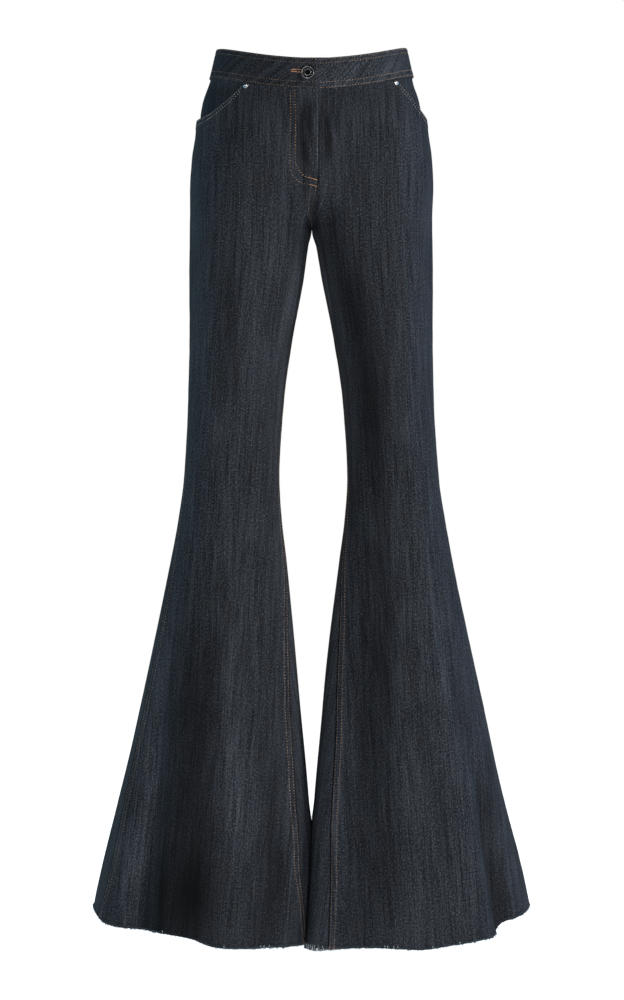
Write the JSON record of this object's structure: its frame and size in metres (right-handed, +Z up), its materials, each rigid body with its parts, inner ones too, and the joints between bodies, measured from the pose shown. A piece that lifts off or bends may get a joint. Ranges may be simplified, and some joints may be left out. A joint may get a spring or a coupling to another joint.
{
  "type": "flared jeans",
  "caption": "Women's flared jeans in dark raw denim, filled out as when worn, with a shank button, a lapped fly, riveted scoop pockets and a raw frayed hem.",
  "frame": {"origin": "centre of the waist opening, half way up the waistband at the side seams", "axes": "+Z up, from the hems to the waist; the front of the jeans faces -Y; +X is the wearer's left"},
  "size_m": [0.5547, 0.2221, 1.1395],
  "materials": {
    "denim": "dark raw indigo twill, matt",
    "thread": "copper-coloured topstitching thread, slight sheen",
    "yarn": "undyed and blue cotton yarn, frayed",
    "dark_metal": "dark plated, satin",
    "bright_metal": "nickel plated, polished"
  },
  "bodies": {
    "root": {"front_left": "denim", "front_right": "denim", "back_left": "denim", "back_right": "denim", "waistband": "denim", "pocket_facing_left": "denim", "pocket_facing_right": "denim", "waist_button": "dark_metal", "pocket_rivet_left": "bright_metal", "pocket_rivet_right": "bright_metal"}
  },
  "joints": []
}
